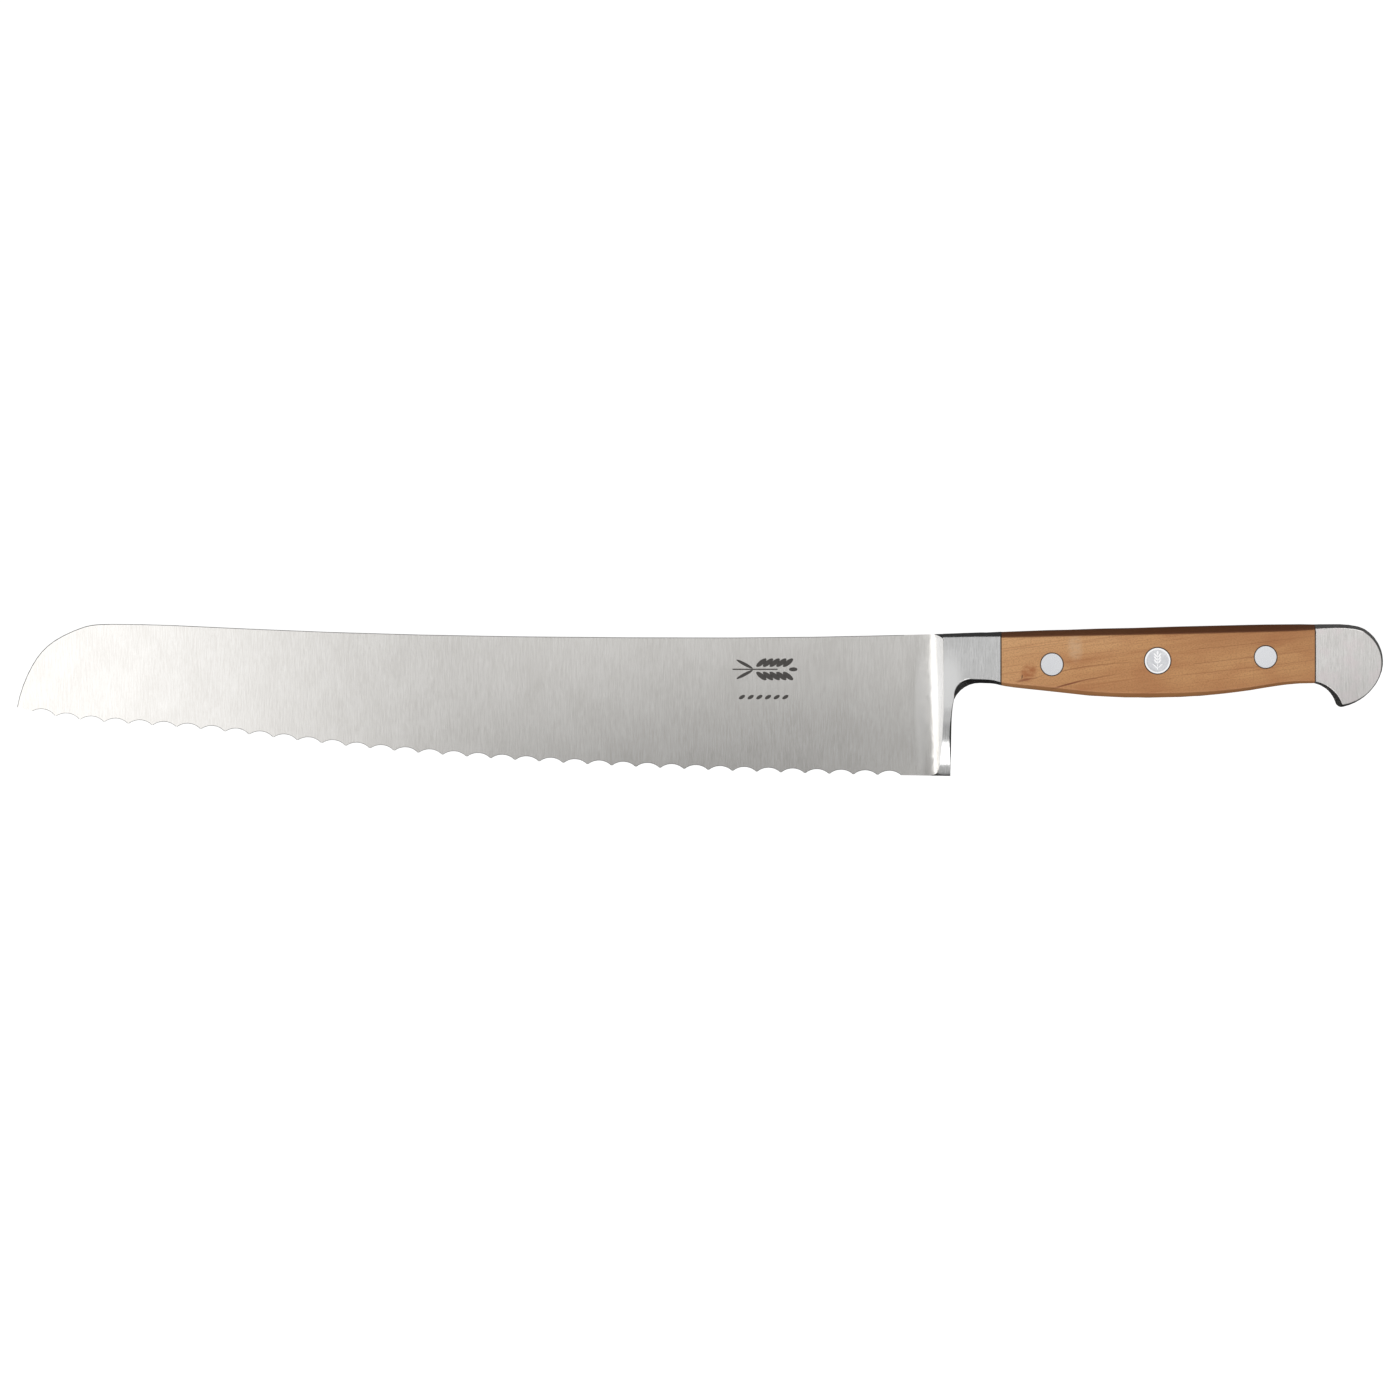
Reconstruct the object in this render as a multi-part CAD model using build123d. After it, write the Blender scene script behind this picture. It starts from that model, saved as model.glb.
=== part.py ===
from build123d import *
import math
import os

# Forged bread knife, lying on the right side of its handle. Millimetres.
# +X runs from the tip to the pommel, +Y from the cutting edge to the spine, and +Z up,
# out of the knife's left side. The origin is on the resting surface, under the middle
# of the knife. Blade, bolster, tang and pommel are one drop forging. Two wooden scales
# lie on the tang, held by three cutler's rivets, each a barrel and a pin.

# ---- driving dimensions ------------------------------------------------------
OVERALL_LENGTH = 472.0
OVERALL_HEIGHT = 52.5
BLADE_LENGTH = 320.0            # tip to the front of the bolster's flat
HANDLE_THICKNESS = 18.0

SPINE_THICKNESS_HEEL = 2.5
SPINE_THICKNESS_TIP = 1.4
EDGE_THICKNESS = 0.5            # before the teeth are ground

TOOTH_COUNT = 37
FIRST_TOOTH_FROM_TIP = 5.0
LAST_TOOTH_FROM_BOLSTER = 14.3
GULLET_DEPTH = 1.6
GULLET_RADIUS = 6.2
GRIND_SLOPE = 1.0               # sideways growth of a gullet's facet per mm of depth
GULLET_LIP = 0.3                # broken left rim of a gullet, and its slope
GULLET_LIP_SLOPE = 0.7
NOSE_BREAK = 0.2                # broken corners round the nose
PLAIN_EDGE_LEFT = 0.15          # thickness left where the plain edge is ground

FLARE_RUN_SPINE = 13.8          # length of the hollow from blade to bolster
FLARE_RUN_HEEL = 10.0
FLARE_PROFILE = [               # share of the run, at the spine and at the heel, and of the rise
    (0, 0, 0),
    (0.54, 0.66, 0.07),
    (0.68, 0.785, 0.145),
    (0.77, 0.84, 0.24),
    (0.85, 0.885, 0.4),
    (0.925, 0.93, 0.63),
    (1, 1, 1),
]
FLARE_END_SLOPE = 75.0          # degrees, where the hollow meets the bolster's flat
FLARE_NOTCH = 0.6               # how far its upper corner stays below the bolster's
GUARD_DROP = 15.2               # how far each side of the guard falls towards the heel
GUARD_RUN = 26.3                # over this height, as a quarter of an ellipse
GUARD_REACH = 0.9               # share of that quarter above the heel

BOLSTER_LENGTH = 19.8           # flat of the bolster, blade side to wood
POMMEL_LENGTH = 23.4            # flat of the pommel, wood to the end
JOINT_DRAFT = 0.7               # how far each steel end leans into the wood at mid-plane
TANG_THICKNESS = 3.6
EDGE_BREAK = 0.15               # broken corner of the steel flats
JOINT_BREAK = 0.12              # and of the steel beside the wood
WOOD_TOP_ROUNDING = 1.0         # radii along the long edges of the wooden flats
WOOD_BELLY_ROUNDING = 0.5

RIVET_HEAD = 7.8                # diameters
MEDALLION_HEAD = 9.1
BARREL_DIAMETER = 5.0
PIN_DIAMETER = 3.0
HEAD_THICKNESS = 2.6
SHANK_LENGTH = 11.0             # of barrel and of pin, from under the head
RIM_BREAK = 0.15                # broken rim of a rivet's head
MEDALLION_RIM = 0.7
RECESS_DEPTH = 0.35
RELIEF_HEIGHT = 0.25

# ---- places worked out from them ---------------------------------------------
MID_Z = HANDLE_THICKNESS / 2
TIP_X = -OVERALL_LENGTH / 2
END_X = OVERALL_LENGTH / 2
BOLSTER_X = TIP_X + BLADE_LENGTH
WOOD_FRONT_X = BOLSTER_X + BOLSTER_LENGTH
WOOD_REAR_X = END_X - POMMEL_LENGTH
TOP_Y = OVERALL_HEIGHT / 2
HEEL_Y = -OVERALL_HEIGHT / 2
BEYOND = 5.0                    # how far a cutting shape runs past what it cuts
JUST_BEYOND = 1.0               # the same, where there is less room
GAP = 0.01                      # nearer than this counts as touching
LEFT, RIGHT = 1, -1             # the side of the mid-plane: up or down

RIVETS = {                      # x, y, head diameter
    "front": (121.5, 12.3, RIVET_HEAD),
    "middle": (158.0, 13.55, MEDALLION_HEAD),
    "rear": (195.3, 14.85, RIVET_HEAD),
}

# ---- outline of the blade ----------------------------------------------------
TIP_CORNER = (TIP_X, -2.5)
NOSE_TOP = (-203.0, TOP_Y)
NOSE = [TIP_CORNER, (-232.2, 9.2), (-225.2, 18.9), (-214.2, 24.8), NOSE_TOP]
SPINE = [NOSE_TOP, (-155.5, 24.6), (-93.4, 22.5), (-20.0, 21.6), (34.3, 21.75), (BOLSTER_X, 22.85)]
CUTTING_EDGE = [
    (86.5, HEEL_Y),
    (19.0, -24.7),
    (-56.6, -21.1),
    (-131.0, -14.8),
    (-180.0, -9.3),
    (-231.0, -3.8),
    TIP_CORNER,
]

# ---- outline of bolster, grip and pommel ---------------------------------------
# The handle is crowned: its outline is fullest at the mid-plane and shrinks to the
# flats on both sides. Of each pair below, MID is the full outline and FLAT the small.
MID, FLAT = 0, 1
TOP_LINE = [                    # x, y at the mid-plane, y at the flats
    (BOLSTER_X, 22.9, 21.65),
    (WOOD_FRONT_X, 23.6, 21.85),
    (120.0, 24.15, 22.15),
    (165.0, 25.4, 23.0),
    (190.0, 26.0, 23.6),
    (207.0, 26.2, 24.2),
    (217.5, 26.2, 24.8),
    (224.2, 26.0, 24.65),
]
BELLY_LINE = [                  # x, y at the mid-plane, y at the flats
    (206.0, 5.6, 6.5),
    (190.0, 3.35, 4.4),
    (172.0, 1.35, 2.75),
    (154.0, 0.8, 2.3),
    (134.0, 1.55, 3.0),
    (118.0, 3.3, 4.7),
    (WOOD_FRONT_X, 5.1, 6.2),
]
POMMEL_CENTRE = [(222.9, 13.3), (222.95, 12.7)]
POMMEL_RADIUS = [13.1, 12.45]
POMMEL_STARTS_AT = 60.0         # degrees, where the top line gives way to the round
POMMEL_ENDS_AT = -25.0          # degrees, where the round gives way to the hook
HOOK_TIP = [
    [(222.3, -2.35), (220.6, -2.15), (219.6, -1.05)],
    [(222.1, -1.55), (221.95, -1.5), (221.8, -1.35)],
]
HOOK_HOLLOW = [
    [(217.0, 3.3), (212.2, 5.8)],
    [(217.9, 4.0), (212.3, 6.45)],
]
CHOIL = [
    [(96.8, 5.85), (89.9, 3.2), (87.0, -3.5)],
    [(94.5, 7.25), (89.7, 5.9), (87.85, 1.2)],
]
HEEL_REAR = [
    [(86.8, -13.0), (86.5, HEEL_Y)],
    [(86.4, -7.0), (86.1, HEEL_Y)],
]


# ---- blade ---------------------------------------------------------------------
def half_thickness(x, y):
    """Half the blade's thickness, which falls from spine to edge and from heel to tip."""
    along = (x - TIP_X) / BLADE_LENGTH
    spine_y = TOP_Y + (SPINE[-1][1] - TOP_Y) * along
    edge_y = TIP_CORNER[1] + (HEEL_Y - TIP_CORNER[1]) * math.sin(along * math.pi / 2)
    spine_half = (SPINE_THICKNESS_TIP + (SPINE_THICKNESS_HEEL - SPINE_THICKNESS_TIP) * along) / 2
    up = (y - edge_y) / (spine_y - edge_y)
    return EDGE_THICKNESS / 2 + (spine_half - EDGE_THICKNESS / 2) * up


def wire_at(z, curves):
    """One closed wire from curves drawn end to end, lifted to height z."""
    edges = [edge for curve in curves for edge in curve.edges()]
    return Wire(edges).moved(Location((0, 0, z)))


def blade_prism():
    """The blade's outline, as tall as the handle is thick."""
    nose = Spline(*NOSE, tangents=[(0.18, 1), (1, 0)])
    spine = Spline(*SPINE, tangents=[(1, 0), (1, 0.03)])
    back = Polyline(SPINE[-1], (CUTTING_EDGE[0][0], SPINE[-1][1]), CUTTING_EDGE[0])
    edge = Spline(*CUTTING_EDGE)
    outline = Face(wire_at(0, [nose, spine, back, edge]))
    return extrude(outline, HANDLE_THICKNESS, dir=(0, 0, 1))


def blade_wedge():
    """A long wedge through three upright sections, reaching past the blade's outline."""
    sections = []
    for x, low in ((TIP_X - BEYOND, -12), (-60, -28), (CUTTING_EDGE[0][0], -31)):
        high = TOP_Y + BEYOND
        foot = half_thickness(x, low)
        head = half_thickness(x, high)
        corners = [
            (x, low, MID_Z - foot),
            (x, high, MID_Z - head),
            (x, high, MID_Z + head),
            (x, low, MID_Z + foot),
        ]
        sections.append(Wire.make_polygon(corners, close=True))
    return Solid.make_loft(sections)


def tooth_tips():
    """Points of the teeth, evenly spaced along the cutting edge from tip to heel."""
    edge = Spline(*CUTTING_EDGE).edge()
    first_x = TIP_X + FIRST_TOOTH_FROM_TIP
    last_x = BOLSTER_X - LAST_TOOTH_FROM_BOLSTER
    pitch = (last_x - first_x) / (TOOTH_COUNT - 1)
    tips = []
    for index in range(TOOTH_COUNT):
        x = first_x + index * pitch
        upright = Edge.make_line((x, HEEL_Y - BEYOND, 0), (x, 0, 0))
        tips.append(edge.intersect(upright).vertices()[0].center())
    return tips


def gullet_cutters(tips):
    """One cutter between each two teeth: a cone that grinds facets on the right side
    and a small one the other way up that breaks the left rim."""
    cutters = []
    height = 4.0
    top = GULLET_RADIUS - GULLET_LIP - GRIND_SLOPE * (height - EDGE_THICKNESS) / 2
    lip_height = 1.0
    lip_spread = GULLET_LIP_SLOPE * lip_height / 2
    for here, ahead in zip(tips, tips[1:]):
        chord = ahead - here
        outward = Vector(chord.Y, -chord.X, 0).normalized()
        centre = (here + ahead) / 2 + outward * (GULLET_RADIUS - GULLET_DEPTH)
        facets = Cone(top + GRIND_SLOPE * height, top, height)
        lip = Cone(GULLET_RADIUS - lip_spread, GULLET_RADIUS + lip_spread, lip_height)
        cutters.append(Location((centre.X, centre.Y, MID_Z)) * facets)
        cutters.append(Location((centre.X, centre.Y, MID_Z + EDGE_THICKNESS / 2)) * lip)
    return cutters


def plain_edge_cutter(start, end):
    """Grinds the right corner off a plain stretch of edge, at 45 degrees."""
    along = end - start
    width = 3.0
    overlap = 0.1
    length = along.length + 2 * overlap
    bar = Location((length / 2 - overlap, -width / 2, 0)) * Box(length, width, 2 * width)
    turn = math.degrees(math.atan2(along.Y, along.X))
    lift = MID_Z + EDGE_THICKNESS / 2 - PLAIN_EDGE_LEFT
    return Location((start.X, start.Y, lift), (0, 0, turn)) * (Rot(45, 0, 0) * bar)


def make_blade(prism):
    tips = tooth_tips()
    tip = Vector(*TIP_CORNER)
    heel = Vector(BOLSTER_X, HEEL_Y)
    blade = blade_wedge() & prism
    corners = []
    for edge in blade.edges():
        on_nose = TIP_X < edge.center().X < NOSE_TOP[0] and edge.center().Y > 0
        if on_nose and edge.length > 2 * SPINE_THICKNESS_TIP:
            corners.append(edge)
    blade = chamfer(corners, NOSE_BREAK) - gullet_cutters(tips)
    return blade - plain_edge_cutter(tip, tips[0]) - plain_edge_cutter(tips[-1], heel)


# ---- bolster, tang and pommel ----------------------------------------------------
def flare(side):
    """The hollow from the blade's face to one flat of the bolster, ever steeper."""
    slope = math.radians(FLARE_END_SLOPE)
    steepest = (math.cos(slope), 0, side * math.sin(slope))
    profiles = []
    at_spine = (TOP_Y + JUST_BEYOND, FLARE_RUN_SPINE, 0)
    at_heel = (HEEL_Y - JUST_BEYOND, FLARE_RUN_HEEL, 1)
    for y, run, column in (at_heel, at_spine):
        start_x = BOLSTER_X - run
        start_half = half_thickness(BOLSTER_X, y)
        rise = MID_Z - start_half
        hollow = []
        for row in FLARE_PROFILE:
            z = MID_Z + side * (start_half + rise * row[2])
            hollow.append((start_x + run * row[column], y, z))
        root = (BOLSTER_X, y, MID_Z)
        toe = (start_x, y, MID_Z)
        start, end = hollow[0], hollow[-1]
        edges = [
            Edge.make_spline(hollow, tangents=[(1, 0, 0), steepest]),
            Edge.make_line(end, root),
            Edge.make_line(root, toe),
            Edge.make_line(toe, start),
        ]
        profiles.append(Wire(edges))
    return Solid.make_loft(profiles, ruled=True)


def crown_prism():
    """Limits the flare on the spine's side, where it leans in towards each flat."""
    _, middle_y, flat_y = TOP_LINE[0]
    corner_y = flat_y - FLARE_NOTCH
    start_x = BOLSTER_X - 2 * FLARE_RUN_SPINE
    upright = SPINE_THICKNESS_HEEL / 2 + JUST_BEYOND
    points = [
        (start_x, HEEL_Y - BEYOND, 0),
        (start_x, corner_y, 0),
        (start_x, middle_y, MID_Z - upright),
        (start_x, middle_y, MID_Z + upright),
        (start_x, corner_y, HANDLE_THICKNESS),
        (start_x, HEEL_Y - BEYOND, HANDLE_THICKNESS),
    ]
    return extrude(Face(Wire.make_polygon(points, close=True)), 2 * FLARE_RUN_SPINE, dir=(1, 0, 0))


def guard_prism():
    """Limits the forging's sides: flat at the handle, curving inwards to the heel."""
    knee_y = HEEL_Y + GUARD_RUN * GUARD_REACH
    lowest = math.asin(GUARD_REACH)
    start_x = BOLSTER_X - 2 * FLARE_RUN_SPINE
    sides = []
    for side in (LEFT, RIGHT):
        curve = []
        for share in (0, 0.35, 0.65, 0.85, 1):
            turn = lowest * share
            y = knee_y - GUARD_RUN * math.sin(turn)
            z = MID_Z + side * (MID_Z - GUARD_DROP * (1 - math.cos(turn)))
            curve.append((start_x, y, z))
        sides.append(curve)
    left, right = sides
    end_run = GUARD_RUN * math.cos(lowest)
    end_drop = GUARD_DROP * math.sin(lowest)
    top_right = (start_x, TOP_Y + BEYOND, 0)
    top_left = (start_x, TOP_Y + BEYOND, HANDLE_THICKNESS)
    edges = [
        Edge.make_spline(left, tangents=[(0, -1, 0), (0, -end_run, -end_drop)]),
        Edge.make_line(left[-1], right[-1]),
        Edge.make_spline(right[::-1], tangents=[(0, end_run, -end_drop), (0, 1, 0)]),
        Edge.make_line(right[0], top_right),
        Edge.make_line(top_right, top_left),
        Edge.make_line(top_left, left[0]),
    ]
    return extrude(Face(Wire(edges)), END_X + BEYOND - start_x, dir=(1, 0, 0))


def handle_curves(level):
    """Outline of bolster, grip and pommel, clockwise from the front of the top line."""
    top = [(row[0], row[1 + level]) for row in TOP_LINE]
    belly = [(row[0], row[1 + level]) for row in BELLY_LINE]
    centre = Vector(*POMMEL_CENTRE[level])

    def on_pommel(degrees):
        turn = math.radians(degrees)
        return centre + Vector(math.cos(turn), math.sin(turn)) * POMMEL_RADIUS[level]

    def heading_at(degrees):
        turn = math.radians(degrees)
        return Vector(math.sin(turn), -math.cos(turn))

    entering = on_pommel(POMMEL_STARTS_AT)
    side = on_pommel((POMMEL_STARTS_AT + POMMEL_ENDS_AT) / 2)
    leaving = on_pommel(POMMEL_ENDS_AT)
    hook_start, hook_via, hook_end = HOOK_TIP[level]
    hollow_via, hollow_end = HOOK_HOLLOW[level]
    choil_start, choil_via, choil_end = CHOIL[level]
    heel_via, heel = HEEL_REAR[level]
    front_foot = (BOLSTER_X, HEEL_Y)
    return [
        Spline(*top, entering, tangents=[(1, 0.04), heading_at(POMMEL_STARTS_AT)]),
        ThreePointArc(entering, side, leaving),
        TangentArc(leaving, hook_start, tangent=heading_at(POMMEL_ENDS_AT)),
        ThreePointArc(hook_start, hook_via, hook_end),
        ThreePointArc(hook_end, hollow_via, hollow_end),
        Spline(hollow_end, *belly, choil_start, tangents=[(-1, 0), (-1, 0)]),
        ThreePointArc(choil_start, choil_via, choil_end),
        Spline(choil_end, heel_via, heel),
        Line(heel, front_foot),
        Line(front_foot, top[0]),
    ]


def handle_blank():
    """Bolster, grip and pommel as one body, crowned between the flats."""
    low = wire_at(0, handle_curves(FLAT))
    middle = wire_at(MID_Z, handle_curves(MID))
    high = wire_at(HANDLE_THICKNESS, handle_curves(FLAT))
    return Solid.make_loft([low, middle, high])


def grip_space(side):
    """Where a scale goes: from the tang's face out past the flat, between the steel ends."""
    points = []
    for height in (TANG_THICKNESS / 2, MID_Z + JUST_BEYOND):
        lean = JOINT_DRAFT * (MID_Z - height) / MID_Z
        z = MID_Z + side * height
        ends = [(WOOD_FRONT_X + lean, HEEL_Y, z), (WOOD_REAR_X - lean, HEEL_Y, z)]
        points += ends if not points else ends[::-1]
    return extrude(Face(Wire.make_polygon(points, close=True)), OVERALL_HEIGHT + BEYOND, dir=(0, 1, 0))


def handle_steel(blank, guard):
    """Bolster, tang and pommel, with the corners round the flats broken."""
    flats = blank.faces().filter_by(GeomType.PLANE)
    corners = [edge for flat in flats for edge in flat.edges()]
    steel = (chamfer(corners, EDGE_BREAK) & guard) - grip_space(LEFT) - grip_space(RIGHT)
    joints = []
    for edge in steel.edges().filter_by(Axis.Y):
        centre = edge.center()
        at_flat = abs(abs(centre.Z - MID_Z) - MID_Z) < GAP
        at_wood = min(abs(centre.X - WOOD_FRONT_X), abs(centre.X - WOOD_REAR_X)) < GAP
        if at_flat and at_wood:
            joints.append(edge)
    return chamfer(joints, JOINT_BREAK)


def scale(blank, side):
    """One wooden scale, rounded along the top and the belly of its flat."""
    wood = blank & grip_space(side)
    for last, radius in ((-1, WOOD_TOP_ROUNDING), (0, WOOD_BELLY_ROUNDING)):
        flat = wood.faces().sort_by(Axis.Z)[-1 if side == LEFT else 0]
        wood = fillet(flat.edges().sort_by(Axis.Y)[last], radius)
    return wood


# ---- rivets -----------------------------------------------------------------------
def bar(x, y, diameter, low, high):
    """An upright round bar between two heights."""
    return Location((x, y, (low + high) / 2)) * Cylinder(diameter / 2, high - low)


def rivet_space(x, y, head):
    """The hole for one rivet through both scales and the tang, stepped for the heads."""
    right_seat = bar(x, y, head, -JUST_BEYOND, HEAD_THICKNESS)
    left_seat = bar(x, y, head, HANDLE_THICKNESS - HEAD_THICKNESS, HANDLE_THICKNESS + JUST_BEYOND)
    return right_seat + left_seat + bar(x, y, BARREL_DIAMETER, 0, HANDLE_THICKNESS)


def rivet_barrel(x, y, head):
    """The hollow half of a rivet, its head flush with the right flat."""
    disc = bar(x, y, head, 0, HEAD_THICKNESS)
    disc = chamfer(disc.edges().group_by(Axis.Z)[0], RIM_BREAK)
    tube = bar(x, y, BARREL_DIAMETER, HEAD_THICKNESS, HEAD_THICKNESS + SHANK_LENGTH)
    bore = bar(x, y, PIN_DIAMETER, HEAD_THICKNESS, HANDLE_THICKNESS)
    return disc + tube - bore


def rivet_pin(x, y, head):
    """The solid half of a rivet, its head flush with the left flat."""
    under_head = HANDLE_THICKNESS - HEAD_THICKNESS
    disc = bar(x, y, head, under_head, HANDLE_THICKNESS)
    disc = chamfer(disc.edges().group_by(Axis.Z)[-1], RIM_BREAK)
    return disc + bar(x, y, PIN_DIAMETER, under_head - SHANK_LENGTH, under_head)


def wheat_ear():
    """A plain ear of wheat, upright about the origin."""
    ear = Location((0, -0.35)) * Rectangle(0.3, 5.3)
    for row in range(3):
        for side in (-1, 1):
            ear += Location((side * 0.72, -0.15 + row * 1.05), (0, 0, -side * 36)) * Ellipse(0.3, 0.82)
    for side in (-1, 1):
        ear += Location((side * 0.95, -1.75), (0, 0, -side * 48)) * Ellipse(0.22, 1.0)
    return ear + Location((0, 2.75)) * Ellipse(0.32, 0.72)


def medallion(pin, x, y):
    """Sinks a round field into the middle rivet's head and leaves an ear of wheat in relief."""
    floor = HANDLE_THICKNESS - RECESS_DEPTH
    field = bar(x, y, MEDALLION_HEAD - 2 * MEDALLION_RIM, floor, HANDLE_THICKNESS + JUST_BEYOND)
    relief = extrude(Location((x, y, floor)) * wheat_ear(), RELIEF_HEIGHT)
    return pin - field + relief


# ---- assembly ----------------------------------------------------------------------
def make_parts():
    prism = blade_prism()
    guard = guard_prism()
    blank = handle_blank()
    rivet_holes = [rivet_space(*place) for place in RIVETS.values()]

    flares = (flare(LEFT) + flare(RIGHT)) & prism & guard & crown_prism()
    parts = {
        "blade_forging": make_blade(prism) + flares + handle_steel(blank, guard) - rivet_holes,
        "left_scale": scale(blank, LEFT) - rivet_holes,
        "right_scale": scale(blank, RIGHT) - rivet_holes,
    }
    for name, (x, y, head) in RIVETS.items():
        pin = rivet_pin(x, y, head)
        parts[name + "_rivet_barrel"] = rivet_barrel(x, y, head)
        parts[name + "_rivet_pin"] = medallion(pin, x, y) if name == "middle" else pin
    return parts


os.makedirs("parts", exist_ok=True)
for node, shape in make_parts().items():
    export_step(shape.solid(), "parts/" + node + ".step")
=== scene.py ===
import math
import bmesh
import bpy
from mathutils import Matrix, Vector
from mathutils.bvhtree import BVHTree

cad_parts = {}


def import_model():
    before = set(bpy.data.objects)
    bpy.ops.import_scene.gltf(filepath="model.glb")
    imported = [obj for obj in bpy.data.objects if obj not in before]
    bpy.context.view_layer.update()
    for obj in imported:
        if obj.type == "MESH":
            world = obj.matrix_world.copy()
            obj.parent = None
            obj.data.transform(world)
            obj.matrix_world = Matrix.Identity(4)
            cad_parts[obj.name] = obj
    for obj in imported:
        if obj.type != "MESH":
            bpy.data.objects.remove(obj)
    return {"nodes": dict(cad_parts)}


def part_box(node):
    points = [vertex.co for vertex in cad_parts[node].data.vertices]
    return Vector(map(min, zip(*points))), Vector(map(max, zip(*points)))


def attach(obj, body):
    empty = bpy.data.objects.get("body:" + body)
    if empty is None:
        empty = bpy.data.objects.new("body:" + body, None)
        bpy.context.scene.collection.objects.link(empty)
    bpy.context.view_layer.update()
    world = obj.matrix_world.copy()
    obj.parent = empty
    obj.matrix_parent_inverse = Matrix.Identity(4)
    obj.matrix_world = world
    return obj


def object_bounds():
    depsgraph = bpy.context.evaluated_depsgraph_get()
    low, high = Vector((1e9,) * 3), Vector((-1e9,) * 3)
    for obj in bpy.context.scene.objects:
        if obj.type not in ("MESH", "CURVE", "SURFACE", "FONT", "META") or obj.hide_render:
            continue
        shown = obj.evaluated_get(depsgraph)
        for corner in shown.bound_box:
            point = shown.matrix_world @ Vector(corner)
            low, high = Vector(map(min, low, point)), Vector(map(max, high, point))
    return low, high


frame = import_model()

# A forged bread knife on its side, seen from straight above in soft studio light.
# Metres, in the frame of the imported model: +X tip to pommel, +Y edge to spine, +Z up.
# The tables of places and radii are in mm: x from the front of the wood for what is on the
# wood, and from the front of the bolster for the rest; y from the middle of the knife's box.
CAD_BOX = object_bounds()
LOW, HIGH = Vector(CAD_BOX[0]), Vector(CAD_BOX[1])
CENTRE = (LOW + HIGH) / 2
LENGTH = HIGH.x - LOW.x
MID_Z = CENTRE.z
MM = 0.001

WOOD_FRONT_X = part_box("left_scale")[0].x
WOOD_REAR_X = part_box("left_scale")[1].x
HANDLE_TOP_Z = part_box("left_scale")[1].z
BOLSTER_LENGTH = 19.8 * MM
BOLSTER_X = WOOD_FRONT_X - BOLSTER_LENGTH
NOSE_END_X = LOW.x + 33 * MM
RIVET_NODES = ("front_rivet", "middle_rivet", "rear_rivet")

# ---- steel: linear colours -----------------------------------------------------------
BLADE_TONES = ((0.745, 0.725, 0.695, 1), (0.855, 0.84, 0.815, 1))       # darkest, palest
BOLSTER_TONES = ((0.65, 0.65, 0.645, 1), (0.84, 0.84, 0.838, 1))
POMMEL_TONES = ((0.75, 0.735, 0.71, 1), (0.945, 0.925, 0.905, 1))
POMMEL_BLUSH = (0.90, 0.81, 0.82, 1)
STEEP_FLARE_SHADE = (0.63, 0.635, 0.645, 1)                                   # painted shade on the steep flare before the bolster
NOSE_CORNER_SHADE = (0, 0, 0, 1)                                              # painted shade: a dark outline on the broken corner round the nose
STEEL_PAINTED_HIGHLIGHTS = [                # centre, radii and colour of two painted highlights: paler base colour on the flare before the bolster and on the bolster
    ((-7.3, -4), (3.2, 26), (0.97, 0.955, 0.93, 1)),
    ((1.5, 4), (7, 16), (0.97, 0.97, 0.965, 1)),
]

# ---- wood: display colours, 0 to 255 -------------------------------------------------
GRAIN_TURN = -8                 # degrees; the grain rises towards the rear
WOOD_ZONES = [                  # where the tint begins and is full in x and in y, share, colour
    ((51.2, 74.2), (14, 21), 0.3, (168, 102, 56)),
    ((2.2, 12.2), (9, 3), 0.3, (172, 104, 58)),
    ((52.2, 36.2), (13, 20), 0.35, (238, 190, 136)),
]
WOOD_MARKS = [                  # centre, radii, turn in degrees, strength, colour, ragged or not
    ((9.7, 9.6), (4.2, 3.2), 60, 0.75, (168, 92, 46), True),            # knot
    ((25.7, 18.0), (5.8, 3.4), 95, 0.45, (222, 188, 152), True),        # pale patch
    ((8.0, 6.9), (3.6, 0.6), 12, 0.6, (136, 70, 40), False),            # dusk below the knot
    ((7.4, 8.0), (1.0, 0.24), 80, 0.9, (62, 36, 24), False),            # crack in the knot
    ((23.4, 5.45), (5.2, 0.36), 14, 0.8, (104, 58, 34), False),         # split
]
VEIN_COLOUR = (140, 78, 44)
WOOD_VEINS = [                  # start, slope, bend per mm, width, reach, strength
    ((17.2, 3.7), 0.31, -0.0037, 0.42, 30, 0.85),
    ((21.2, 10.0), 0.21, -0.0035, 0.30, 34, 0.6),
    ((0.7, 16.9), 0.14, 0.0, 0.24, 34, 0.35),
    ((10.7, 7.2), 0.36, 0.0, 0.22, 9, 0.45),
    ((62.2, 8.6), 0.10, 0.0003, 0.24, 70, 0.4),
    ((66.2, 12.4), 0.11, 0.0003, 0.26, 60, 0.45),
    ((68.2, 17.6), 0.10, 0.0003, 0.22, 60, 0.4),
    ((6.2, 6.2), 0.25, 0.0, 0.25, 8, 0.5),
]

# ---- the etched device -----------------------------------------------------------------
MARK_X = BOLSTER_X - 62 * MM
MARK_Y = CENTRE.y + 8 * MM
MARK_PROUD = 0.015 * MM         # above the blade's face
MARK_SUNK = 0.03 * MM           # below it

# ---- studio ----------------------------------------------------------------------------
CAMERA_DISTANCE = 10.0
KNIFE_SHARE = 0.9755            # of the picture's width
ROOM_LIGHT = 0.18               # of the room, and what it gains towards the tip and the edge
ROOM_TIP_LIGHT = 0.35
ROOM_EDGE_LIGHT = 0.30
PANELS = [                      # name, centre and size in metres, strength
    ("key", (0.0, -0.92, 0.775), (1.2, 0.69), 2.0),
    ("side", (-1.0, 0.0, 0.28), (0.9, 0.5), 1.25),
    ("rim", (0.56, 1.2, 0.35), (0.72, 0.6), 1.3),
]
CARD_HEIGHT = 0.25
CARD_SIZE = (0.7, 0.26)
CARD_TIP_LIGHT = 1.40
CARD_STEPS = [                  # where the light begins and ends to change along x, and the change
    (-322, -152, -0.84),
    (-114, -34, -0.04),
    (2, 16, 0.055),
]
CARD_SLOPE = 5.4                # light gained per metre towards the spine
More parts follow.
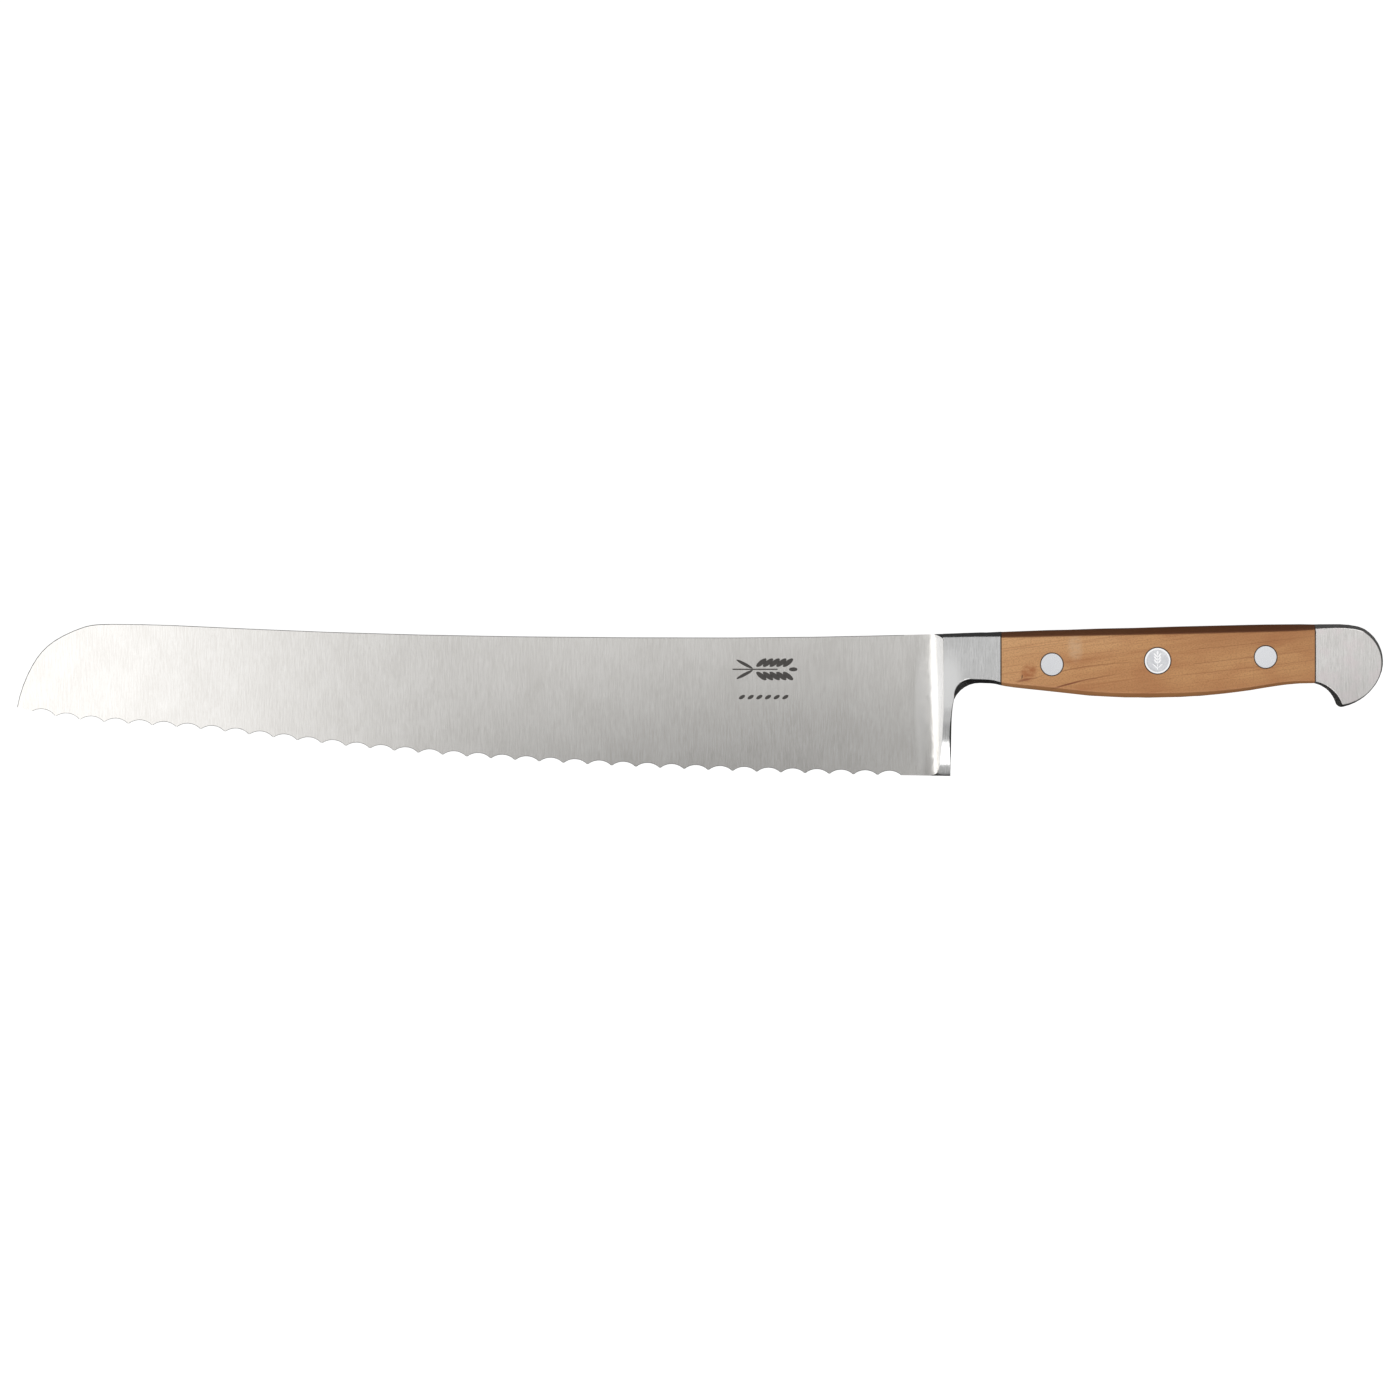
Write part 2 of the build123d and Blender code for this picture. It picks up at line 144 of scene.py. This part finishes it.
CARD_SLOPE_SPAN = (-234, -134)  # where that begins and is full
CARD_SLOPE_Y = -10.5            # where it adds nothing
CARD_LEAST = (0.41, 0.435)      # least light, before and behind the span
CARD_LEAST_SPAN = (-24, -4)
CARD_SPOTS = [                  # centre, radii, and what each adds to the light
    ((-1, 0), (13, 24), 0.55),
    ((2, -48), (24, 26), 0.35),
    ((22, 12), (18, 28), -0.22),
    ((-18, 13), (22, 12), -0.18),
    ((-54, -32), (80, 18), -0.08),
    ((-24, -6), (22, 18), -0.12),
    ((-136, 0), (26, 26), 0.12),
]
MEDAL_SPOT = (16, 16)           # radii of the brighter card over the medallion
MEDAL_LIGHT = 0.45
MIRROR_SHIFT = 1.024            # the card seen in a flat lies this much further out


def node_centre(node):
    low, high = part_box(node)
    return (low + high) / 2


def node_radius(node):
    low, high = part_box(node)
    return (high.x - low.x) / 2


# ---- node trees ------------------------------------------------------------------------
class Tree:
    """A shader's node tree, with short ways to add nodes and join them."""

    def __init__(self, tree):
        self.tree = tree
        tree.nodes.clear()

    def add(self, kind, inputs=None, **settings):
        node = self.tree.nodes.new("ShaderNode" + kind)
        for name, value in settings.items():
            setattr(node, name, value)
        for name, value in (inputs or {}).items():
            self.feed(node.inputs[name], value)
        return node

    def feed(self, socket, value):
        if isinstance(value, bpy.types.NodeSocket):
            self.tree.links.new(value, socket)
        else:
            socket.default_value = value

    def math(self, operation, first, second=0.0, third=0.0):
        return self.add("Math", {0: first, 1: second, 2: third}, operation=operation).outputs[0]

    def ramp(self, value, low, high, start=0.0, end=1.0):
        """start at low, end at high, a smooth step between them, and level outside."""
        inputs = {"Value": value, "From Min": low, "From Max": high, "To Min": start, "To Max": end}
        node = self.add("MapRange", inputs, interpolation_type="SMOOTHSTEP")
        return node.outputs["Result"]

    def mix(self, share, first, second):
        node = self.add("Mix", data_type="RGBA", clamp_factor=True)
        self.feed(node.inputs[0], share)
        self.feed(node.inputs[6], first)
        self.feed(node.inputs[7], second)
        return node.outputs[2]

    def grey(self, level):
        return self.add("CombineColor", {0: level, 1: level, 2: level}).outputs[0]

    def place(self):
        """The point's place in the object, in metres."""
        return self.add("TexCoord").outputs["Object"]

    def normal(self):
        return self.add("NewGeometry").outputs["Normal"]

    def axes(self, vector):
        return self.add("SeparateXYZ", {0: vector}).outputs

    def for_camera(self):
        """1 where the camera looks straight at the surface, 0 in light and reflections."""
        return self.add("LightPath").outputs["Is Camera Ray"]

    def noise(self, place, grain_mm, turn=0.0, shift=(0, 0, 0), detail=3.0, roughness=0.5, warp=0.0):
        """Noise whose grains measure grain_mm along x, y and z, turned about z by turn degrees."""
        rotated = self.add("Mapping", {"Vector": place, "Rotation": (0, 0, math.radians(turn))})
        scale = tuple(1 / (size * MM) for size in grain_mm)
        sized = self.add("Mapping", {"Vector": rotated.outputs[0], "Scale": scale, "Location": shift})
        inputs = {"Vector": sized.outputs[0], "Scale": 1.0, "Detail": detail,
                  "Roughness": roughness, "Distortion": warp}
        return self.add("TexNoise", inputs).outputs["Fac"]

    def finish(self, shader):
        """Joins the shader to the material's output."""
        self.add("OutputMaterial", {"Surface": shader.outputs[0]})


def colour(red, green, blue):
    """A display colour, 0 to 255, as linear light."""
    def linear(level):
        level /= 255
        return level / 12.92 if level <= 0.04045 else ((level + 0.055) / 1.055) ** 2.4
    return (linear(red), linear(green), linear(blue), 1.0)


def new_material(name):
    material = bpy.data.materials.new(name)
    material.use_nodes = True
    return material, Tree(material.node_tree)


def spot(t, at, centre, radii, turn=0.0):
    """A soft oval: 1 at its centre, 0 at its rim.

    at is the point's x and y in metres, counted from where centre's millimetres are counted.
    """
    across = t.math("SUBTRACT", at[0], centre[0] * MM)
    up = t.math("SUBTRACT", at[1], centre[1] * MM)
    cos, sin = math.cos(math.radians(turn)), math.sin(math.radians(turn))
    along = t.math("MULTIPLY_ADD", across, cos, t.math("MULTIPLY", up, sin))
    beside = t.math("MULTIPLY_ADD", up, cos, t.math("MULTIPLY", across, -sin))
    long_share = t.math("DIVIDE", along, radii[0] * MM)
    wide_share = t.math("DIVIDE", beside, radii[1] * MM)
    square = t.math("MULTIPLY_ADD", long_share, long_share, t.math("MULTIPLY", wide_share, wide_share))
    return t.ramp(square, 0, 1, 1, 0)


# ---- materials -------------------------------------------------------------------------
def brushed_tone(t, place):
    """Steel's brush lines from spine to edge, over faint specks and clouds."""
    lines = t.noise(place, (0.4, 8, 8), detail=2.0, roughness=0.6)
    fine_lines = t.noise(place, (0.2, 3, 3), detail=1.0)
    clouds = t.noise(place, (9, 12, 12), detail=3.0)
    specks = t.noise(place, (0.6, 1.0, 1.0), detail=1.0)
    tone = t.math("MULTIPLY_ADD", lines, 0.45, t.math("MULTIPLY", fine_lines, 0.4))
    tone = t.math("MULTIPLY_ADD", specks, 0.15, tone)
    return t.math("MULTIPLY_ADD", t.math("SUBTRACT", clouds, 0.5), 0.3, tone)


def steel_material():
    """Satin steel, with its own tone on the blade, the bolster and the pommel, painted highlights on the
    flare and the bolster, painted shade on the steep flare and a painted dark outline round the nose.
    """
    material, t = new_material("forged_steel")
    place = t.place()
    x, y, z = t.axes(place)
    at = (t.math("SUBTRACT", x, BOLSTER_X), y)
    on_bolster = t.ramp(at[0], -3 * MM, 0)
    on_pommel = t.ramp(x, WOOD_REAR_X - 2 * MM, WOOD_REAR_X - 1 * MM)
    off_middle = t.math("ABSOLUTE", t.math("SUBTRACT", z, MID_Z))
    on_shaded_steep_flare = t.math("MULTIPLY", t.ramp(off_middle, 3 * MM, 4.5 * MM), t.ramp(at[0], 0, -0.2 * MM))
    upright = t.ramp(t.axes(t.normal())[2], 0.95, 0.8)
    on_shaded_nose_corner = t.math("MULTIPLY", upright, t.ramp(x, NOSE_END_X, NOSE_END_X - 2 * MM))

    tone = brushed_tone(t, place)
    paleness = t.ramp(tone, 0.3, 0.7)
    blush = t.ramp(t.noise(place, (6, 6, 6), detail=2.0), 0.4, 0.7, 0, 0.5)
    pommel = t.mix(blush, t.mix(paleness, *POMMEL_TONES), POMMEL_BLUSH)
    base = t.mix(on_bolster, t.mix(paleness, *BLADE_TONES), t.mix(paleness, *BOLSTER_TONES))
    base = t.mix(on_pommel, base, pommel)
    # painted highlights: paler patches of base colour where the flats mirror bright light
    for centre, radii, highlight_colour in STEEL_PAINTED_HIGHLIGHTS:
        base = t.mix(spot(t, at, centre, radii), base, highlight_colour)
    # painted shade: the steep flare before the bolster is coloured darker
    base = t.mix(on_shaded_steep_flare, base, STEEP_FLARE_SHADE)
    # painted shade: the tilted faces round the nose are coloured dark as an outline
    base = t.mix(t.math("MULTIPLY", on_shaded_nose_corner, 0.85), base, NOSE_CORNER_SHADE)

    roughness = t.math("MULTIPLY_ADD", tone, 0.08, 0.19)
    bump = t.add("Bump", {"Height": tone, "Strength": 0.12, "Distance": 0.01 * MM})
    across = t.add("VectorMath", {0: (0, 1, 0), 1: t.normal()}, operation="CROSS_PRODUCT")
    t.finish(t.add("BsdfPrincipled", {
        "Base Color": base, "Metallic": 1.0, "Roughness": roughness, "Normal": bump.outputs[0],
        "Anisotropic": 0.7, "Tangent": across.outputs[0],
    }))
    return material


def vein(t, place, at, start, slope, bend, width, reach):
    """A dark line in the wood from start towards +X: 1 on it, 0 off it, fading over reach."""
    along = t.math("SUBTRACT", at[0], start[0] * MM)
    line = t.math("MULTIPLY_ADD", along, slope, start[1] * MM)
    line = t.math("MULTIPLY_ADD", t.math("MULTIPLY", along, along), bend / MM, line)
    ripple = t.noise(place, (4, 4, 4), detail=1.0)
    ripple = t.math("MULTIPLY", t.math("SUBTRACT", ripple, 0.5), 0.5 * MM)
    off = t.math("ABSOLUTE", t.math("SUBTRACT", at[1], t.math("ADD", line, ripple)))
    on_line = t.ramp(off, width * MM, 0)
    begun = t.ramp(along, -0.6 * MM, 0.6 * MM)
    fading = t.ramp(along, reach * MM, 0.3 * reach * MM)
    return t.math("MULTIPLY", on_line, t.math("MULTIPLY", begun, fading))


def marked(t, place, at, base):
    """The wood's colour with its knot, cracks, pale patch and veins."""
    ragged = t.ramp(t.noise(place, (2.5, 1.6, 2), detail=3.0), 0.3, 0.6, 0.35, 1)
    for centre, radii, turn, strength, tint, is_ragged in WOOD_MARKS:
        share = t.math("MULTIPLY", spot(t, at, centre, radii, turn), strength)
        if is_ragged:
            share = t.math("MULTIPLY", share, ragged)
        base = t.mix(share, base, colour(*tint))
    for *line, strength in WOOD_VEINS:
        share = t.math("MULTIPLY", vein(t, place, at, *line), strength)
        base = t.mix(share, base, colour(*VEIN_COLOUR))
    return base


def shade_at_wood_joints(t, place):
    """Painted shade in the wood: dark seams beside the steel and round the rivets."""
    seam = 0.12 * MM
    x, y, _ = t.axes(place)
    to_front = t.math("SUBTRACT", x, WOOD_FRONT_X)
    to_rear = t.math("SUBTRACT", WOOD_REAR_X, x)
    nearest = t.math("SUBTRACT", t.math("MINIMUM", to_front, to_rear), seam)
    for name in RIVET_NODES:
        middle = node_centre(name + "_pin")
        across = t.math("SUBTRACT", x, middle.x)
        up = t.math("SUBTRACT", y, middle.y)
        square = t.math("MULTIPLY_ADD", across, across, t.math("MULTIPLY", up, up))
        outside = t.math("SUBTRACT", t.math("SQRT", square), node_radius(name + "_pin"))
        nearest = t.math("MINIMUM", nearest, outside)
    return t.ramp(nearest, 0.34 * MM, seam)


def wood_material(name, seed, with_marks):
    """Oiled pear wood: fine grain rising to the rear, with painted shade on its sides and beside its
    joints.
    """
    material, t = new_material(name)
    place = t.place()
    shift = (seed, seed, seed)
    figure = t.noise(place, (60, 3.2, 6), turn=GRAIN_TURN, shift=shift, warp=0.5)
    grain = t.noise(place, (30, 0.55, 1.2), turn=GRAIN_TURN, shift=shift, warp=0.4)
    pores = t.noise(place, (1.0, 0.22, 0.4), turn=GRAIN_TURN, shift=shift, detail=2.0)
    speckle = t.noise(place, (0.6, 0.45, 0.5), shift=shift)
    clouds = t.noise(place, (16, 7, 9), turn=GRAIN_TURN, shift=shift)
    x, y, _ = t.axes(place)
    at = (t.math("SUBTRACT", x, WOOD_FRONT_X), y)

    base = t.mix(t.ramp(figure, 0.3, 0.7), colour(216, 161, 106), colour(205, 148, 96))
    base = t.mix(t.ramp(clouds, 0.4, 0.7, 0, 0.6), base, colour(190, 126, 78))
    base = t.mix(t.ramp(at[0], 0, 32 * MM, 0.5, 0), base, colour(226, 176, 124))
    for (start_x, full_x), (start_y, full_y), share, tint in WOOD_ZONES:
        along = t.ramp(at[0], start_x * MM, full_x * MM)
        up = t.ramp(at[1], start_y * MM, full_y * MM, 0, share)
        base = t.mix(t.math("MULTIPLY", along, up), base, colour(*tint))
    base = t.mix(t.ramp(grain, 0.52, 0.7, 0, 0.38), base, colour(166, 98, 56))
    base = t.mix(t.ramp(speckle, 0.42, 0.7, 0, 0.5), base, colour(168, 114, 70))
    base = t.mix(t.ramp(pores, 0.6, 0.8, 0, 0.3), base, colour(140, 88, 54))
    if with_marks:
        base = marked(t, place, at, base)

    # painted shade: the wood's sides are darker, most on the side facing the spine and less on the side
    # facing the edge
    facing = t.axes(t.normal())[1]
    base = t.mix(t.ramp(facing, 0.15, 0.6, 0, 0.9), base, colour(112, 62, 32))
    base = t.mix(t.ramp(facing, -0.15, -0.6, 0, 0.6), base, colour(176, 122, 80))
    # painted shade: the wood is coloured dark beside the steel and round the rivets
    base = t.mix(t.math("MULTIPLY", shade_at_wood_joints(t, place), 0.9), base, colour(42, 34, 30))
    height = t.math("MULTIPLY_ADD", pores, -0.6, grain)
    bump = t.add("Bump", {"Height": height, "Strength": 0.2, "Distance": 0.03 * MM})
    roughness = t.math("MULTIPLY_ADD", grain, 0.15, 0.38)
    t.finish(t.add("BsdfPrincipled", {
        "Base Color": base, "Roughness": roughness, "Normal": bump.outputs[0],
        "Specular IOR Level": 0.45,
    }))
    return material


def rivet_material():
    """Pale satin metal, faintly brushed."""
    material, t = new_material("rivet_metal")
    place = t.place()
    lines = t.noise(place, (3, 0.16, 3), turn=-15, detail=2.0)
    clouds = t.noise(place, (6, 6, 6), detail=1.0)
    tone = t.math("MULTIPLY_ADD", lines, 0.4, t.math("MULTIPLY", clouds, 0.6))
    base = t.mix(t.ramp(tone, 0.3, 0.7), (0.945, 0.955, 0.99, 1), (0.97, 0.98, 1.0, 1))
    roughness = t.math("MULTIPLY_ADD", lines, 0.08, 0.2)
    bump = t.add("Bump", {"Height": lines, "Strength": 0.06, "Distance": 0.01 * MM})
    t.finish(t.add("BsdfPrincipled", {
        "Base Color": base, "Metallic": 1.0, "Roughness": roughness, "Normal": bump.outputs[0],
    }))
    return material


def medallion_material():
    """Pale metal: a bead-blasted sunk field, rim and relief polished."""
    material, t = new_material("medallion_metal")
    place = t.place()
    polished = t.ramp(t.axes(place)[2], HANDLE_TOP_Z - 0.32 * MM, HANDLE_TOP_Z - 0.14 * MM)
    grit = t.noise(place, (0.18, 0.18, 0.18), detail=2.0)
    clouds = t.noise(place, (2.5, 2.5, 2.5), detail=2.0)
    field = t.mix(t.ramp(clouds, 0.3, 0.7), (0.86, 0.87, 0.90, 1), (0.96, 0.97, 0.99, 1))
    field = t.mix(t.ramp(grit, 0.4, 0.8, 0, 0.25), field, (0.6, 0.61, 0.63, 1))
    base = t.mix(polished, field, (0.99, 0.99, 1.0, 1))
    roughness = t.ramp(polished, 0, 1, 0.5, 0.14)
    bump = t.add("Bump", {"Height": grit, "Strength": 0.15, "Distance": 0.02 * MM})
    t.finish(t.add("BsdfPrincipled", {
        "Base Color": base, "Metallic": 1.0, "Roughness": roughness, "Normal": bump.outputs[0],
    }))
    return material


def etching_material():
    """Dark matt etching, a little uneven."""
    material, t = new_material("etched_mark")
    speckle = t.noise(t.place(), (0.25, 0.25, 0.25), detail=2.0)
    base = t.mix(speckle, colour(52, 50, 48), colour(84, 80, 77))
    t.finish(t.add("BsdfPrincipled", {"Base Color": base, "Roughness": 0.6}))
    return material


def dress():
    """Gives every CAD node its material."""
    rivets = rivet_material()
    chosen = {
        "blade_forging": steel_material(),
        "left_scale": wood_material("pear_wood_left", 3.0, with_marks=True),
        "right_scale": wood_material("pear_wood_right", 11.0, with_marks=False),
        "middle_rivet_pin": medallion_material(),
    }
    for name, piece in frame["nodes"].items():
        piece.data.materials.clear()
        piece.data.materials.append(chosen.get(name, rivets))


# ---- pieces ----------------------------------------------------------------------------
def new_piece(name, bm):
    """Turns a bmesh into an object of the scene."""
    mesh = bpy.data.meshes.new(name)
    bm.to_mesh(mesh)
    bm.free()
    piece = bpy.data.objects.new(name, mesh)
    bpy.context.scene.collection.objects.link(piece)
    return piece


def ellipse(x, y, half_long, half_wide, degrees, steps=20):
    turn = math.radians(degrees)
    points = []
    for step in range(steps):
        angle = 2 * math.pi * step / steps
        along = half_long * math.cos(angle)
        across = half_wide * math.sin(angle)
        points.append((x + along * math.cos(turn) - across * math.sin(turn),
                       y + along * math.sin(turn) + across * math.cos(turn)))
    return points


def rectangle(x, y, width, height):
    return [(x - width / 2, y - height / 2), (x + width / 2, y - height / 2),
            (x + width / 2, y + height / 2), (x - width / 2, y + height / 2)]


def device_shapes():
    """A lying ear of wheat with a row of loose grains under it, in mm about its own centre."""
    ear_y, pair_pitch = 2.6, 2.3
    row_y, row_pitch = -7.0, 3.0
    stalk = rectangle(-3.0, ear_y, 15.6, 0.45)
    top_grain = ellipse(10.2, ear_y, 1.5, 0.7, 0)
    shapes = [stalk]
    for pair in range(5):
        x = -0.8 + pair * pair_pitch
        for side in (-1, 1):
            shapes.append(ellipse(x, ear_y + side * 2.3, 2.2, 0.85, side * 38))
    shapes.append(top_grain)
    for side in (-1, 1):
        leaf = ellipse(-6.6, ear_y + side * 1.8, 3.2, 0.55, side * -28)
        shapes.append(leaf)
    for grain in range(6):
        shapes.append(ellipse(-7.5 + grain * row_pitch, row_y, 1.2, 0.6, 30))
    return shapes


def etched_mark():
    """The device as thin closed plates that follow the blade's left face."""
    forging = frame["nodes"]["blade_forging"].data
    surface = BVHTree.FromPolygons([v.co for v in forging.vertices], [p.vertices for p in forging.polygons])
    bm = bmesh.new()
    for shape in device_shapes():
        tops, feet = [], []
        for x, y in shape:
            x, y = MARK_X + x * MM, MARK_Y + y * MM
            hit = surface.ray_cast(Vector((x, y, HIGH.z + 1)), Vector((0, 0, -1)))[0]
            tops.append(bm.verts.new((x, y, hit.z + MARK_PROUD)))
            feet.append(bm.verts.new((x, y, hit.z - MARK_SUNK)))
        bm.faces.new(tops)
        bm.faces.new(feet[::-1])
        for i in range(len(shape)):
            j = (i + 1) % len(shape)
            bm.faces.new((tops[i], feet[i], feet[j], tops[j]))
    piece = new_piece("etched_mark", bm)
    piece.data.materials.append(etching_material())
    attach(piece, "root")


# ---- the studio ------------------------------------------------------------------------
def camera():
    """Straight above the knife, with a long lens."""
    data = bpy.data.cameras.new("camera")
    data.sensor_width = 36.0
    data.lens = data.sensor_width * CAMERA_DISTANCE / (LENGTH / KNIFE_SHARE)
    piece = bpy.data.objects.new("camera", data)
    piece.location = (CENTRE.x, CENTRE.y, MID_Z + CAMERA_DISTANCE)
    bpy.context.scene.collection.objects.link(piece)
    bpy.context.scene.camera = piece


def world():
    """White to the camera; to the knife a dim room, lighter towards the tip and the edge."""
    scene_world = bpy.data.worlds.new("studio")
    scene_world.use_nodes = True
    t = Tree(scene_world.node_tree)
    way = t.axes(t.add("TexCoord").outputs["Generated"])
    to_tip = t.ramp(way[0], 0.1, -0.8)
    to_edge = t.ramp(way[1], 0.1, -0.8)
    light = t.math("MULTIPLY_ADD", to_tip, ROOM_TIP_LIGHT, ROOM_LIGHT)
    light = t.math("MULTIPLY_ADD", to_edge, ROOM_EDGE_LIGHT, light)
    shown = t.mix(t.for_camera(), t.grey(light), (1, 1, 1, 1))
    background = t.add("Background", {"Color": shown, "Strength": 1.0})
    t.add("OutputWorld", {"Surface": background.outputs[0]})
    bpy.context.scene.world = scene_world


def panel(name, centre, size, strength):
    """A flat soft light turned to the knife, unseen by the camera itself."""
    data = bpy.data.lights.new(name, "AREA")
    data.shape = "RECTANGLE"
    data.size, data.size_y = size
    data.energy = strength * size[0] * size[1] * math.pi
    piece = bpy.data.objects.new(name, data)
    piece.location = centre
    piece.rotation_euler = (CENTRE - Vector(centre)).to_track_quat("-Z", "Y").to_euler()
    piece.visible_camera = False
    bpy.context.scene.collection.objects.link(piece)


def sheet(name, half_size, location):
    """A level square of one face."""
    bm = bmesh.new()
    bmesh.ops.create_grid(bm, x_segments=1, y_segments=1, size=half_size)
    piece = new_piece(name, bm)
    piece.location = location
    return piece


def gradient_card():
    """A low overhead card that the flats mirror.

    It is bright over the tip and grey over the bolster, and behind the tip it fades from the
    spine to the edge.
    """
    piece = sheet("card", 0.5, (0, 0, CARD_HEIGHT))
    piece.scale = (*CARD_SIZE, 1)
    piece.visible_camera = False
    material, t = new_material("card")
    x, y, _ = t.axes(t.add("NewGeometry").outputs["Position"])
    at = (t.math("SUBTRACT", x, BOLSTER_X), y)
    light = CARD_TIP_LIGHT
    for begin, end, change in CARD_STEPS:
        light = t.math("ADD", light, t.ramp(at[0], begin * MM, end * MM, 0, change))
    begin, end = CARD_SLOPE_SPAN
    slope = t.ramp(at[0], begin * MM, end * MM, 0, CARD_SLOPE)
    light = t.math("MULTIPLY_ADD", slope, t.math("SUBTRACT", y, CARD_SLOPE_Y * MM), light)
    begin, end = CARD_LEAST_SPAN
    light = t.math("MAXIMUM", light, t.ramp(at[0], begin * MM, end * MM, *CARD_LEAST))
    for centre, radii, gain in CARD_SPOTS:
        light = t.math("MULTIPLY_ADD", spot(t, at, centre, radii), gain, light)
    medal = node_centre("middle_rivet_pin") / MM
    over_medal = spot(t, (x, y), (medal.x * MIRROR_SHIFT, medal.y), MEDAL_SPOT)
    light = t.math("MULTIPLY_ADD", over_medal, MEDAL_LIGHT, light)
    t.finish(t.add("Emission", {"Color": (1, 1, 1, 1), "Strength": light}))
    piece.data.materials.append(material)


def lights():
    """Three soft panels and the card over the knife."""
    for name, centre, size, strength in PANELS:
        panel(name, centre, size, strength)
    gradient_card()


def floor():
    """A pale floor: almost evenly white, with a trace of the knife's shadow.

    Steep polished faces mirror it, so to everything but the camera it is dark: darkest on the
    edge's side, and palest beyond the spine behind the pommel's seam.
    """
    piece = sheet("floor", 6.0, (0, 0, LOW.z - 0.05 * MM))
    material, t = new_material("floor")
    paper = t.add("BsdfDiffuse", {"Color": (0.2, 0.2, 0.2, 1)})
    glow = t.add("Emission", {"Color": (1, 1, 1, 1), "Strength": 0.96})
    white = t.add("AddShader", {0: paper.outputs[0], 1: glow.outputs[0]})
    x, y, _ = t.axes(t.add("NewGeometry").outputs["Position"])
    from_pommel = t.math("SUBTRACT", x, WOOD_REAR_X)
    spine_tint = t.ramp(from_pommel, -22.6 * MM, 2.4 * MM, 0.065, 0.14)
    tint = t.math("MULTIPLY_ADD", t.ramp(y, 0, 30 * MM), spine_tint, 0.02)
    dim = t.add("BsdfDiffuse", {"Color": t.grey(tint)})
    t.finish(t.add("MixShader", {0: t.for_camera(), 1: dim.outputs[0], 2: white.outputs[0]}))
    piece.data.materials.append(material)


dress()
etched_mark()
camera()
world()
lights()
floor()
bpy.context.scene.view_settings.view_transform = "Standard"
